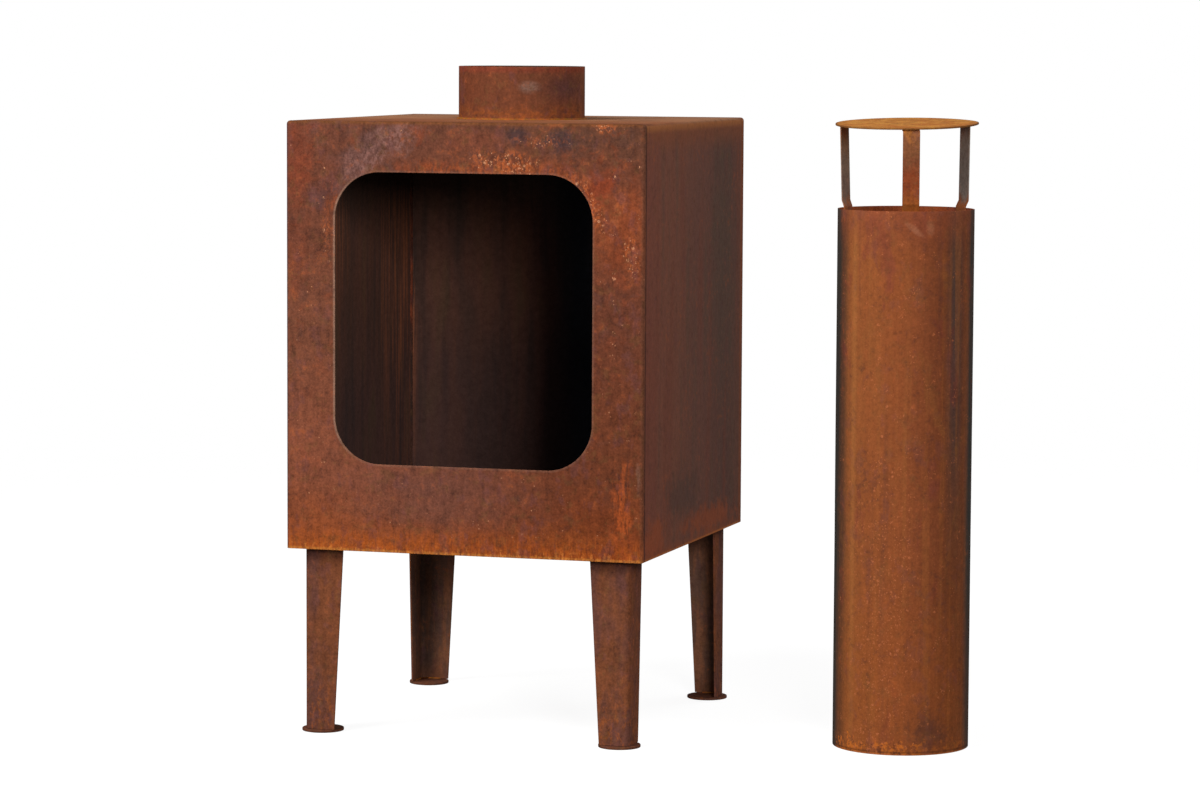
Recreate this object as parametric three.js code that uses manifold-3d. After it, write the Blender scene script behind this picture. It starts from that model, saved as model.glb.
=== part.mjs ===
// Outdoor wood burner (chiminea) in weathering steel, with its flue lifted off.
//
// A square firebox with an open, round-cornered front stands on four folded legs. Its flue, a
// straight pipe with a push-in rain cap, stands on the ground at the right of the firebox, as it
// does before it is lifted over the collar on the firebox's top.
//
// Units are millimetres. +Z is up, -Y is the open front and +X is the side where the flue stands.
// The origin is on the ground, under the middle of the box that holds the firebox and the flue.

import * as THREE from 'three';
import { mergeVertices } from 'three/addons/utils/BufferGeometryUtils.js';
import Module from 'manifold-3d';

const wasm = await Module();
wasm.setup();

// ---------------------------------------------------------------- driving dimensions

const GAP = 0.3;                  // clearance between pieces that touch or are welded
const SHEET = 2;                  // sheet thickness of the firebox, its legs and its collar

const BOX_WIDTH = 415;
const BOX_DEPTH = 415;
const BOX_HEIGHT = 478;
const BOX_UNDERSIDE = 208;        // ground to the underside of the firebox
const FOLD_RADIUS = 5;            // outside radius of the folded edges
const PAN_LIP = 8;                // how far the front and back pans turn back along the sides

const OPENING_SIDE = 58;          // edge of the firebox to the side of the fire opening
const OPENING_SILL = 98;          // underside of the firebox to the sill of the opening
const OPENING_HEAD = 56;          // head of the opening to the top of the firebox
const OPENING_RADIUS = 52;

const PIPE_RADIUS = 75;           // a 150 mm stove pipe
const PIPE_WALL = 1.5;
const PIPE_LENGTH = 594;
const COLLAR_RADIUS = 72;         // the pipe slides over the collar with 1.5 mm to spare all round
const COLLAR_HEIGHT = 60;
const FLUE_HOLE_RADIUS = COLLAR_RADIUS + GAP;

const LEG_INSET_SIDE = 17;        // side of the firebox to the outer face of a leg
const LEG_INSET_END = 12;         // front or back of the firebox to the outer face of a leg
const LEG_FOLD_RADIUS = 7;
const LEG_TOP_WIDTH = 46;
const LEG_BOTTOM_WIDTH = 35;
const LEG_TAB = 44;               // side of the tab that bolts the leg to the floor plate
const FOOT_RADIUS = 23.5;
const FOOT_THICKNESS = 3;
const FOOT_CENTRE = 16;           // outer face of a leg to the middle of its foot disc

const BOLT_RADIUS = 3;            // M6
const BOLT_HOLE_RADIUS = BOLT_RADIUS + 0.4;
const BOLT_NEAR = 16;             // outer face of a leg to the nearer bolt
const BOLT_FAR = 31;              // outer face of a leg to the farther bolt
const BOLT_LENGTH = 13;           // under the head
const HEX_RADIUS = 5.77;          // across corners / 2, for 10 mm across flats
const BOLT_HEAD = 4;
const NUT_HEIGHT = 5;

const CAP_RADIUS = 78.5;
const CAP_SHEET = 2;
const CAP_HEIGHT = 93;            // rim of the pipe to the middle of the cap disc
const CAP_TILT = THREE.MathUtils.degToRad(3);
const STRAP_WIDTH = 18.5;
const STRAP_SHEET = 1.5;
const STRAP_INSERT = 45;          // how far the straps reach down inside the pipe
const STRAP_STEP_START = 1;       // heights above the rim where a strap starts to step out over it
const STRAP_SHOULDER = 8;         // and where the step ends, at the strap's shoulder
const STRAP_TAB = 16;             // length turned in under the disc
const STRAP_BEND = 2;             // length over which the tab bends in
const TAB_CLEARANCE = 0.2;        // extra room between the flat tab and the tilted disc
const STRAPS = [                  // radii to the middle of the strip
  { name: 'cap_strap_front', azimuth: -73.4, shoulderRadius: 75.6, topRadius: 75.6 },
  { name: 'cap_strap_right', azimuth: 46, shoulderRadius: 75.6, topRadius: 76.6 },
  { name: 'cap_strap_left', azimuth: 166, shoulderRadius: 74.6, topRadius: 77.4 },
];

const FLUE_OFFSET_X = 465;        // middle of the firebox to the axis of the flue
const FLUE_OFFSET_Y = -64;

// ---------------------------------------------------------------- dimensions that follow

const BOX_TOP = BOX_UNDERSIDE + BOX_HEIGHT;
const FIREBOX_X = -(FLUE_OFFSET_X + CAP_RADIUS - BOX_WIDTH / 2) / 2;
const FLUE_X = FIREBOX_X + FLUE_OFFSET_X;
const TUBE_SEGMENTS = 72;
const HEX_SEGMENTS = 6;
const BOLT_SEGMENTS = 20;
const CURVE_SEGMENTS = 8;

// ---------------------------------------------------------------- materials

const rust = (name, color, roughness) =>
  new THREE.MeshStandardMaterial({ name, color, roughness, metalness: 0.25 });

const CASING_RUST = rust('casing_rust', 0x7d4632, 0.85);
const TOP_RUST = rust('collar_rust', 0x8a4c30, 0.85);
const INNER_RUST = rust('inner_rust', 0x3a221a, 0.92);
const LEG_RUST = rust('leg_rust', 0x74432f, 0.85);
const FLUE_RUST = rust('flue_rust', 0x91502d, 0.82);
const CAP_RUST = rust('cap_rust', 0xbe782d, 0.85);
const STRAP_RUST = rust('strap_rust', 0x7a5440, 0.75);
const FASTENER_RUST = rust('fastener_rust', 0x5c4338, 0.7);

// ---------------------------------------------------------------- solids

function solidOf(geometry) {
  const bare = geometry.clone();
  bare.deleteAttribute('normal');
  bare.deleteAttribute('uv');
  const merged = mergeVertices(bare, 1e-4);
  return new wasm.Manifold(new wasm.Mesh({
    numProp: 3,
    vertProperties: new Float32Array(merged.attributes.position.array),
    triVerts: new Uint32Array(merged.index.array),
  }));
}

function geometryOf(solid) {
  const mesh = solid.getMesh();
  const geometry = new THREE.BufferGeometry();
  geometry.setAttribute('position', new THREE.BufferAttribute(mesh.vertProperties, 3));
  geometry.setIndex(new THREE.BufferAttribute(mesh.triVerts, 1));
  geometry.computeVertexNormals();
  return geometry;
}

function cut(geometry, ...tools) {
  const result = tools.reduce((solid, tool) => solid.subtract(solidOf(tool)), solidOf(geometry));
  return geometryOf(result);
}

function join(...geometries) {
  return geometryOf(geometries.map(solidOf).reduce((all, solid) => all.add(solid)));
}

function extrude(shape, depth) {
  return new THREE.ExtrudeGeometry(shape, { depth, bevelEnabled: false, curveSegments: CURVE_SEGMENTS });
}

// A shape drawn in X and Z, extruded from front to back, with its front at y = 0.
function extrudeBack(shape, depth) {
  return extrude(shape, depth).rotateX(Math.PI / 2).translate(0, depth, 0);
}

// An upright cylinder that stands on z = 0.
function post(radius, height, segments) {
  return new THREE.CylinderGeometry(radius, radius, height, segments)
    .rotateX(Math.PI / 2)
    .translate(0, 0, height / 2);
}

// An upright tube that stands on z = 0.
function tube(outerRadius, innerRadius, height, segments) {
  const profile = [
    [innerRadius, 0], [outerRadius, 0], [outerRadius, height], [innerRadius, height], [innerRadius, 0],
  ].map(([r, z]) => new THREE.Vector2(r, z));
  return new THREE.LatheGeometry(profile, segments).rotateX(Math.PI / 2);
}

// A rectangle from (left, bottom) to (right, top), with one radius for each pair of corners.
function roundedRect(left, right, bottom, top, bottomRadius, topRadius) {
  const shape = new THREE.Shape();
  shape.moveTo(left + bottomRadius, bottom);
  shape.lineTo(right - bottomRadius, bottom);
  if (bottomRadius > 0) {
    shape.absarc(right - bottomRadius, bottom + bottomRadius, bottomRadius, -Math.PI / 2, 0);
  }
  shape.lineTo(right, top - topRadius);
  if (topRadius > 0) shape.absarc(right - topRadius, top - topRadius, topRadius, 0, Math.PI / 2);
  shape.lineTo(left + topRadius, top);
  if (topRadius > 0) {
    shape.absarc(left + topRadius, top - topRadius, topRadius, Math.PI / 2, Math.PI);
  }
  shape.lineTo(left, bottom + bottomRadius);
  if (bottomRadius > 0) {
    shape.absarc(left + bottomRadius, bottom + bottomRadius, bottomRadius, Math.PI, 1.5 * Math.PI);
  }
  return shape;
}

// The outline of a strip of sheet that follows a bent centre line.
function stripShape(points, thickness) {
  const line = points.map(([x, y]) => new THREE.Vector2(x, y));
  const normalAt = (i) => {
    const along = line[i + 1].clone().sub(line[i]).normalize();
    return new THREE.Vector2(-along.y, along.x);
  };
  const offsets = line.map((_, i) => {
    const before = normalAt(Math.max(i - 1, 0));
    const after = normalAt(Math.min(i, line.length - 2));
    const mitre = before.clone().add(after).normalize();
    return mitre.multiplyScalar(thickness / 2 / mitre.dot(after));
  });
  const left = line.map((point, i) => point.clone().add(offsets[i]));
  const right = line.map((point, i) => point.clone().sub(offsets[i]));
  return new THREE.Shape([...left, ...right.reverse()]);
}

function piece(name, geometry, material) {
  const mesh = new THREE.Mesh(geometry, material);
  mesh.name = name;
  return mesh;
}

// ---------------------------------------------------------------- firebox

// The edge of the firebox seen from the front: two square corners below, two folded ones above.
function boxOutline(inset) {
  return roundedRect(
    -BOX_WIDTH / 2 + inset, BOX_WIDTH / 2 - inset,
    BOX_UNDERSIDE, BOX_TOP - inset,
    0, FOLD_RADIUS - inset,
  );
}

// The front or back panel is a shallow pan, with its lip turned back at both sides and the top.
function pan() {
  const pocket = roundedRect(
    -BOX_WIDTH / 2 + SHEET, BOX_WIDTH / 2 - SHEET,
    BOX_UNDERSIDE - SHEET, BOX_TOP - SHEET,
    0, FOLD_RADIUS - SHEET,
  );
  return cut(
    extrudeBack(boxOutline(0), PAN_LIP),
    extrudeBack(pocket, PAN_LIP).translate(0, SHEET, 0),
  );
}

function frontPanel() {
  const opening = roundedRect(
    -BOX_WIDTH / 2 + OPENING_SIDE, BOX_WIDTH / 2 - OPENING_SIDE,
    BOX_UNDERSIDE + OPENING_SILL, BOX_TOP - OPENING_HEAD,
    OPENING_RADIUS, OPENING_RADIUS,
  );
  const panel = cut(pan(), extrudeBack(opening, 4 * SHEET).translate(0, -SHEET, 0));
  return panel.translate(0, -BOX_DEPTH / 2, 0);
}

function backPanel() {
  return pan().rotateZ(Math.PI).translate(0, BOX_DEPTH / 2, 0);
}

// The two sides and the top are one sheet, folded over and drilled for the flue.
function casing() {
  const length = BOX_DEPTH - 2 * (PAN_LIP + GAP);
  const inside = roundedRect(
    -BOX_WIDTH / 2 + SHEET, BOX_WIDTH / 2 - SHEET,
    BOX_UNDERSIDE - SHEET, BOX_TOP - SHEET,
    0, FOLD_RADIUS - SHEET,
  );
  const flueHole = post(FLUE_HOLE_RADIUS, 4 * SHEET, TUBE_SEGMENTS).translate(0, 0, BOX_TOP - 2 * SHEET);
  return cut(
    extrudeBack(boxOutline(0), length).translate(0, -length / 2, 0),
    extrudeBack(inside, length + 2 * SHEET).translate(0, -length / 2 - SHEET, 0),
    flueHole,
  );
}

function floorPlate() {
  const width = BOX_WIDTH - 2 * (SHEET + GAP);
  const depth = BOX_DEPTH - 2 * (SHEET + GAP);
  const plate = new THREE.BoxGeometry(width, depth, SHEET).translate(0, 0, SHEET / 2);
  const holes = corners().flatMap((corner) => boltSpots(corner).map(({ x, y }) =>
    post(BOLT_HOLE_RADIUS, 4 * SHEET, BOLT_SEGMENTS).translate(x, y, -SHEET)));
  return cut(plate, ...holes).translate(0, 0, BOX_UNDERSIDE);
}

// The collar stands in the hole in the top, flush with the underside of the sheet.
function flueCollar() {
  return tube(COLLAR_RADIUS, COLLAR_RADIUS - SHEET, COLLAR_HEIGHT + SHEET, TUBE_SEGMENTS)
    .translate(0, 0, BOX_TOP - SHEET);
}

// ---------------------------------------------------------------- legs

// Each corner of the firebox, with the signs that lead outward from its middle, and how far its
// leg is turned from the leg at the front left.
function corners() {
  return [
    { name: 'front_left', sx: -1, sy: -1, quarterTurns: 0 },
    { name: 'front_right', sx: 1, sy: -1, quarterTurns: 1 },
    { name: 'back_right', sx: 1, sy: 1, quarterTurns: 2 },
    { name: 'back_left', sx: -1, sy: 1, quarterTurns: 3 },
  ];
}

// A place measured inward from the two outer faces of a leg, in the firebox's own frame.
function fromLegFaces({ sx, sy }, inX, inY) {
  return {
    x: sx * (BOX_WIDTH / 2 - LEG_INSET_SIDE - inX),
    y: sy * (BOX_DEPTH / 2 - LEG_INSET_END - inY),
  };
}

function boltSpots(corner) {
  return [fromLegFaces(corner, BOLT_NEAR, BOLT_FAR), fromLegFaces(corner, BOLT_FAR, BOLT_NEAR)];
}

// The plan of a leg: two flanges that meet in a round fold at the origin.
function legSection() {
  const shape = new THREE.Shape();
  shape.moveTo(LEG_TOP_WIDTH, 0);
  shape.lineTo(LEG_TOP_WIDTH, SHEET);
  shape.lineTo(LEG_FOLD_RADIUS, SHEET);
  shape.absarc(
    LEG_FOLD_RADIUS, LEG_FOLD_RADIUS, LEG_FOLD_RADIUS - SHEET, 1.5 * Math.PI, Math.PI, true);
  shape.lineTo(SHEET, LEG_TOP_WIDTH);
  shape.lineTo(0, LEG_TOP_WIDTH);
  shape.lineTo(0, LEG_FOLD_RADIUS);
  shape.absarc(LEG_FOLD_RADIUS, LEG_FOLD_RADIUS, LEG_FOLD_RADIUS, Math.PI, 1.5 * Math.PI);
  return shape;
}

// What the taper takes off the free edge of the flange that runs along X.
function taperWedge(height) {
  const past = LEG_FOLD_RADIUS;
  const wedge = new THREE.Shape([
    new THREE.Vector2(LEG_TOP_WIDTH, height),
    new THREE.Vector2(LEG_BOTTOM_WIDTH, 0),
    new THREE.Vector2(LEG_BOTTOM_WIDTH, -past),
    new THREE.Vector2(LEG_TOP_WIDTH + past, -past),
    new THREE.Vector2(LEG_TOP_WIDTH + past, height),
  ]);
  return extrudeBack(wedge, 3 * past).translate(0, -past, 0);
}

// The tab at the top of a leg: a square with its free corner cut off.
function legTab() {
  const bevel = LEG_TAB / 2;
  const shape = new THREE.Shape([
    new THREE.Vector2(SHEET / 2, LEG_FOLD_RADIUS),
    new THREE.Vector2(LEG_FOLD_RADIUS, SHEET / 2),
    new THREE.Vector2(LEG_TAB, SHEET / 2),
    new THREE.Vector2(LEG_TAB, bevel),
    new THREE.Vector2(bevel, LEG_TAB),
    new THREE.Vector2(SHEET / 2, LEG_TAB),
  ]);
  return extrude(shape, SHEET);
}

// A leg with its outer fold at the origin, its flanges along +X and +Y, standing on z = 0.
function uprightLeg() {
  const height = BOX_UNDERSIDE - GAP - FOOT_THICKNESS - GAP;
  const flanges = extrude(legSection(), height);
  const tapered = cut(flanges, taperWedge(height), taperWedge(height).rotateZ(Math.PI / 2));
  const tab = legTab().translate(0, 0, height - SHEET);
  const holes = [[BOLT_NEAR, BOLT_FAR], [BOLT_FAR, BOLT_NEAR]].map(([x, y]) =>
    post(BOLT_HOLE_RADIUS, 4 * SHEET, BOLT_SEGMENTS).translate(x, y, height - 2 * SHEET));
  return cut(join(tapered, tab), ...holes);
}

function leg(corner) {
  const { x, y } = fromLegFaces(corner, 0, 0);
  const mesh = piece(`leg_${corner.name}`, uprightLeg(), LEG_RUST);
  mesh.rotation.z = corner.quarterTurns * Math.PI / 2;
  mesh.position.set(x, y, FOOT_THICKNESS + GAP);
  return mesh;
}

function foot(corner) {
  const { x, y } = fromLegFaces(corner, FOOT_CENTRE, FOOT_CENTRE);
  const mesh = piece(`foot_${corner.name}`, post(FOOT_RADIUS, FOOT_THICKNESS, 48), LEG_RUST);
  mesh.position.set(x, y, 0);
  return mesh;
}

// ---------------------------------------------------------------- fasteners

// The bolt's head lies on the floor plate, inside the firebox, and its shank points down.
function boltSolid() {
  const head = post(HEX_RADIUS, BOLT_HEAD, HEX_SEGMENTS);
  const shank = post(BOLT_RADIUS, BOLT_LENGTH + 1, BOLT_SEGMENTS).translate(0, 0, -BOLT_LENGTH);
  return join(head, shank);
}

function nutSolid() {
  const hole = post(BOLT_RADIUS + GAP, 3 * NUT_HEIGHT, BOLT_SEGMENTS).translate(0, 0, -NUT_HEIGHT);
  return cut(post(HEX_RADIUS, NUT_HEIGHT, HEX_SEGMENTS), hole);
}

function fasteners() {
  const headSeat = BOX_UNDERSIDE + SHEET + GAP;
  const nutTop = BOX_UNDERSIDE - GAP - SHEET - GAP;
  return corners().flatMap((corner) => boltSpots(corner).flatMap(({ x, y }, i) => {
    const bolt = piece(`leg_bolt_${corner.name}_${i + 1}`, boltSolid(), FASTENER_RUST);
    bolt.position.set(x, y, headSeat);
    const nut = piece(`leg_nut_${corner.name}_${i + 1}`, nutSolid(), FASTENER_RUST);
    nut.position.set(x, y, nutTop - NUT_HEIGHT);
    return [bolt, nut];
  }));
}

// ---------------------------------------------------------------- flue and cap

function fluePipe() {
  return tube(PIPE_RADIUS, PIPE_RADIUS - PIPE_WALL, PIPE_LENGTH, TUBE_SEGMENTS);
}

function capDisc() {
  const disc = post(CAP_RADIUS, CAP_SHEET, TUBE_SEGMENTS).translate(0, 0, -CAP_SHEET / 2);
  const mesh = piece('cap_disc', disc, CAP_RUST);
  mesh.position.z = PIPE_LENGTH + CAP_HEIGHT;
  mesh.rotation.x = CAP_TILT;
  return mesh;
}

// A strap runs down inside the pipe, steps out over the rim, rises to the disc and turns in
// under it. Its strip is drawn with the radius along X and the height along Y.
function capStrap({ name, azimuth, shoulderRadius, topRadius }) {
  const angle = THREE.MathUtils.degToRad(azimuth);
  const bore = PIPE_RADIUS - PIPE_WALL - GAP;
  const innerRadius = Math.sqrt(bore ** 2 - (STRAP_WIDTH / 2) ** 2) - STRAP_SHEET / 2;
  const slope = Math.sin(angle) * Math.tan(CAP_TILT);
  const crossSlope = Math.abs(Math.cos(angle) * Math.tan(CAP_TILT)) * STRAP_WIDTH / 2;
  const belowDisc = (CAP_SHEET + STRAP_SHEET) / 2 + GAP + crossSlope + TAB_CLEARANCE;
  const tabHeight = (radius) => CAP_HEIGHT + radius * slope - belowDisc;
  const centreLine = [
    [innerRadius, -STRAP_INSERT],
    [innerRadius, STRAP_STEP_START],
    [shoulderRadius, STRAP_SHOULDER],
    [topRadius, tabHeight(topRadius) - STRAP_BEND],
    [topRadius - STRAP_BEND, tabHeight(topRadius - STRAP_BEND)],
    [topRadius - STRAP_TAB, tabHeight(topRadius - STRAP_TAB)],
  ];
  const strip = extrude(stripShape(centreLine, STRAP_SHEET), STRAP_WIDTH)
    .translate(0, 0, -STRAP_WIDTH / 2)
    .rotateX(Math.PI / 2);
  const mesh = piece(name, strip, STRAP_RUST);
  mesh.position.z = PIPE_LENGTH;
  mesh.rotation.z = angle;
  return mesh;
}

// ---------------------------------------------------------------- assembly

const firebox = new THREE.Group();
firebox.position.x = FIREBOX_X;
firebox.add(
  piece('casing', casing(), CASING_RUST),
  piece('front_panel', frontPanel(), CASING_RUST),
  piece('back_panel', backPanel(), CASING_RUST),
  piece('floor_plate', floorPlate(), INNER_RUST),
  piece('flue_collar', flueCollar(), TOP_RUST),
  ...corners().map(leg),
  ...corners().map(foot),
  ...fasteners(),
);

const cap = new THREE.Group();
cap.add(capDisc(), ...STRAPS.map(capStrap));

const flue = new THREE.Group();
flue.position.set(FLUE_X, FLUE_OFFSET_Y, 0);
flue.add(piece('flue_pipe', fluePipe(), FLUE_RUST), cap);

const chiminea = new THREE.Group();
chiminea.add(firebox, flue);

export default chiminea;
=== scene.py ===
import math
import random

import bmesh
import bpy
from mathutils import Matrix, Vector


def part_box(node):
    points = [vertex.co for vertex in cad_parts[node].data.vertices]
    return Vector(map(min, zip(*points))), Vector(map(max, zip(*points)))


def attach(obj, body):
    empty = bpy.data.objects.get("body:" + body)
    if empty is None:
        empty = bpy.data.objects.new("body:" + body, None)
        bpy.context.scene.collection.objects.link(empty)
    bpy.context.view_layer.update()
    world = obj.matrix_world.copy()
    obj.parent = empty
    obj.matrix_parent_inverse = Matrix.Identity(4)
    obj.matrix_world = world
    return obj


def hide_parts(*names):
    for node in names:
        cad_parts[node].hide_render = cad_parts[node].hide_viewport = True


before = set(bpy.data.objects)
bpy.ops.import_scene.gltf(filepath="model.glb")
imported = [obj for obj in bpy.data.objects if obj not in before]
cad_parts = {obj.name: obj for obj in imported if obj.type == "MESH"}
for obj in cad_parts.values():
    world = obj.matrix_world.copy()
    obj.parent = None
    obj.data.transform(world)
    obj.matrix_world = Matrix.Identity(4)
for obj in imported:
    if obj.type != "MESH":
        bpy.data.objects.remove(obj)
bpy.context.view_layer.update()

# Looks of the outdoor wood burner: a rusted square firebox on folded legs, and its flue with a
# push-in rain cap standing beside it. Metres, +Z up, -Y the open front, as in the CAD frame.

MM = 0.001
RANDOM_SEED = 11
SEAM_AZIMUTH = 100                # degrees from +X, of the welds down the pipe and the collar

# ------------------------------------------------------------------ dimensions

SHEET = 2 * MM                    # sheet of the firebox, its legs and its collar
FOLD_RADIUS = 5 * MM              # outside radius of the casing's folded edges
PAN_FOLD_RADIUS = 4 * MM          # the same on the front and back panels
BURR = 0.4 * MM                   # rounding of a cut edge
HAIR = 0.3 * MM                   # a small gap, and the tolerance for finding a face
OPENING_RADIUS = 52 * MM
OPENING_SIDE = 58 * MM
OPENING_SILL = 98 * MM
OPENING_HEAD = 56 * MM
LEG_FOLD_RADIUS = 7 * MM
LEG_TOP_WIDTH = 46 * MM
LEG_BOTTOM_WIDTH = 35 * MM
LEG_TAB = 44 * MM
BOLT_HOLE = 3.4 * MM              # radius
BOLT_RADIUS = 3 * MM
BOLT_HEAD = 4 * MM
THREAD_DEPTH = 0.35 * MM
THREAD_PITCH = 1 * MM
PIPE_WALL = 1.5 * MM
CAP_TILT = math.radians(3)
CAP_SHEET = 2 * MM
STRAP_WIDTH = 18.5 * MM
STRAP_SHEET = 1.5 * MM
STRAP_GAP = 0.3 * MM              # inside of the pipe to the edges of a strap
STRAP_INSERT = 45 * MM
STRAP_SHOULDER = 8 * MM
STRAP_TAB = 16 * MM
STRAPS = {                        # azimuth in degrees, radii of the shoulder and the top bend
    "cap_strap_front": (-73.4, 75.6 * MM, 75.6 * MM),
    "cap_strap_right": (46, 75.6 * MM, 76.6 * MM),
    "cap_strap_left": (166, 74.6 * MM, 77.4 * MM),
}
CORNERS = {                       # signs that lead outward, and quarter turns of the leg
    "front_left": (-1, -1, 0),
    "front_right": (1, -1, 1),
    "back_right": (1, 1, 2),
    "back_left": (-1, 1, 3),
}


def middle(node):
    low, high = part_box(node)
    return (low + high) / 2


def upright_axis(node):
    """Where the upright axis of a node meets the ground."""
    return Vector((middle(node).x, middle(node).y, 0))


CASING_LOW, CASING_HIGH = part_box("casing")
FRONT_LOW, FRONT_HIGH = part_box("front_panel")
COLLAR_LOW, COLLAR_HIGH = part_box("flue_collar")
PIPE_LOW, PIPE_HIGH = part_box("flue_pipe")
DISC_LOW, DISC_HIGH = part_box("cap_disc")
BOX_CENTRE = Vector((middle("casing").x, 0, 0))
BOX_X = middle("casing").x
BOX_HALF = (CASING_HIGH.x - CASING_LOW.x) / 2
BOX_BOTTOM = CASING_LOW.z
BOX_TOP = CASING_HIGH.z
FRONT_Y = FRONT_LOW.y
BACK_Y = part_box("back_panel")[1].y
INSIDE_X = BOX_HALF - SHEET
INSIDE_Y = BACK_Y - SHEET
FLUE_AXIS = upright_axis("flue_pipe")
PIPE_RADIUS = (PIPE_HIGH.x - PIPE_LOW.x) / 2
PIPE_LENGTH = PIPE_HIGH.z
COLLAR_RADIUS = (COLLAR_HIGH.x - COLLAR_LOW.x) / 2
CAP_RADIUS = (DISC_HIGH.x - DISC_LOW.x) / 2
CAP_HEIGHT = middle("cap_disc").z - PIPE_LENGTH      # rim of the pipe to the middle of the disc
CAP_CENTRE = Vector((FLUE_AXIS.x, FLUE_AXIS.y, PIPE_LENGTH + CAP_HEIGHT))

rng = random.Random(RANDOM_SEED)

# ------------------------------------------------------------------ mesh tools


def new_piece(name, bm):
    """A named object made of a bmesh, shaded smooth."""
    bmesh.ops.recalc_face_normals(bm, faces=bm.faces)
    mesh = bpy.data.meshes.new(name)
    bm.to_mesh(mesh)
    bm.free()
    mesh.shade_smooth()
    piece = bpy.data.objects.new(name, mesh)
    bpy.context.scene.collection.objects.link(piece)
    return piece


def settle(piece):
    """Turns a piece's modifiers into its mesh."""
    graph = bpy.context.evaluated_depsgraph_get()
    mesh = bpy.data.meshes.new_from_object(piece.evaluated_get(graph))
    piece.modifiers.clear()
    piece.data = mesh


def combine(piece, bm, operation="DIFFERENCE"):
    """Cuts a bmesh away from a piece, joins it on or keeps what both fill."""
    tool = new_piece("tool", bm)
    boolean = piece.modifiers.new("boolean", "BOOLEAN")
    boolean.operation = operation
    boolean.solver = "EXACT"
    boolean.object = tool
    settle(piece)
    bpy.data.objects.remove(tool)


def soften(piece, width=BURR):
    """Rounds the sharp edges of a finished shape and keeps its flats flat."""
    bevel = piece.modifiers.new("bevel", "BEVEL")
    bevel.width = width
    bevel.segments = 2
    bevel.limit_method = "ANGLE"
    bevel.angle_limit = math.radians(35)
    bevel.miter_outer = "MITER_ARC"
    bevel.harden_normals = True
    settle(piece)
    piece.data.shade_smooth()


def block(low, high, rounded, radius):
    """A block whose edges picked by rounded(middle of the edge) are rounded."""
    low, high = Vector(low), Vector(high)
    bm = bmesh.new()
    bmesh.ops.create_cube(bm, size=1, matrix=Matrix.LocRotScale((low + high) / 2, None, high - low))
    edges = [e for e in bm.edges if rounded((e.verts[0].co + e.verts[1].co) / 2)]
    bmesh.ops.bevel(bm, geom=edges, offset=radius, segments=8, affect="EDGES", profile=0.5)
    return bm


def walls(bm, rings):
    """Faces from each ring of points to the next one."""
    for a, b in zip(rings, rings[1:]):
        for i in range(len(a)):
            j = (i + 1) % len(a)
            bm.faces.new((a[i], a[j], b[j], b[i]))


def ends(bm, rings):
    """A face over the first ring of points, and one over the last."""
    bm.faces.new(rings[0])
    bm.faces.new(rings[-1])


def prism(outline, to_world, depth):
    """A closed outline of 2-D points, extruded by depth. to_world(u, v, w) gives the place."""
    bm = bmesh.new()
    rings = [[bm.verts.new(to_world(u, v, w)) for u, v in outline] for w in (0, depth)]
    ends(bm, rings)
    walls(bm, rings)
    return bm


def loft(sections):
    """A solid through outlines of the same count of points."""
    bm = bmesh.new()
    rings = [[bm.verts.new(p) for p in section] for section in sections]
    walls(bm, rings)
    ends(bm, rings)
    return bm


def lathe(profile, segments, place, wobble=lambda angle, z: 0):
    """A closed profile of (radius, height) turned about an upright axis through place."""
    bm = bmesh.new()
    rings = []
    for k in range(segments):
        a = 2 * math.pi * k / segments
        turned = [(r + wobble(a, z), z) for r, z in profile]
        rings.append([bm.verts.new(place + Vector((r * math.cos(a), r * math.sin(a), z)))
                      for r, z in turned])
    walls(bm, rings + rings[:1])
    bmesh.ops.remove_doubles(bm, verts=bm.verts, dist=1e-7)
    return bm


def arc(cx, cy, radius, start, end, steps=8):
    """Points along an arc, angles in degrees, both ends included."""
    angles = [math.radians(start + (end - start) * i / steps) for i in range(steps + 1)]
    return [(cx + radius * math.cos(a), cy + radius * math.sin(a)) for a in angles]


def rounded_rectangle(left, right, bottom, top, r):
    return (arc(right - r, bottom + r, r, -90, 0, 16) + arc(right - r, top - r, r, 0, 90, 16)
            + arc(left + r, top - r, r, 90, 180, 16) + arc(left + r, bottom + r, r, 180, 270, 16))


def smooth_noise(seed, count=5, lowest=1):
    """A repeatable wavy function of an angle, from -1 to 1."""
    source = random.Random(seed)
    waves = [(lowest + i, source.uniform(0, 2 * math.pi), source.uniform(0.4, 1))
             for i in range(count)]
    total = sum(strength for _, _, strength in waves)
    return lambda a: sum(s * math.sin(n * a + p) for n, p, s in waves) / total


def line(start, end, step):
    """Points about a step apart on a straight line, both ends included."""
    start, end = Vector(start), Vector(end)
    count = max(2, round((end - start).length / step))
    return [start.lerp(end, i / count) for i in range(count + 1)]


def weld_bead(name, path, radius, pitch=1.6 * MM, closed=False):
    """A run of weld along a path: a low tube whose girth swells with every ripple of the pool."""
    sides, flatness = 10, 0.8
    bm = bmesh.new()
    rings = []
    travelled = 0
    count = len(path)
    for i, here in enumerate(path):
        before = path[i - 1] if i or closed else here
        after = path[(i + 1) % count] if i + 1 < count or closed else here
        along = (after - before).normalized()
        travelled += (here - before).length if i else 0
        ripple = abs(math.sin(math.pi * travelled / pitch))
        swell = radius * (0.84 + 0.16 * ripple + rng.uniform(-0.05, 0.05))
        if not closed:
            swell *= min(1, 0.25 + 0.25 * min(i, count - 1 - i))
        upright = abs(along.z) > 0.9
        across = (along.orthogonal() if upright else Vector((along.y, -along.x, 0))).normalized()
        up = along.cross(across).normalized()
        rings.append([bm.verts.new(here + across * x + up * y * flatness)
                      for x, y in arc(0, 0, swell, 0, 360 - 360 / sides, sides - 1)])
    walls(bm, rings + rings[:1] if closed else rings)
    if not closed:
        ends(bm, rings)
    return new_piece(name, bm)


# ------------------------------------------------------------------ material tools


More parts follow.
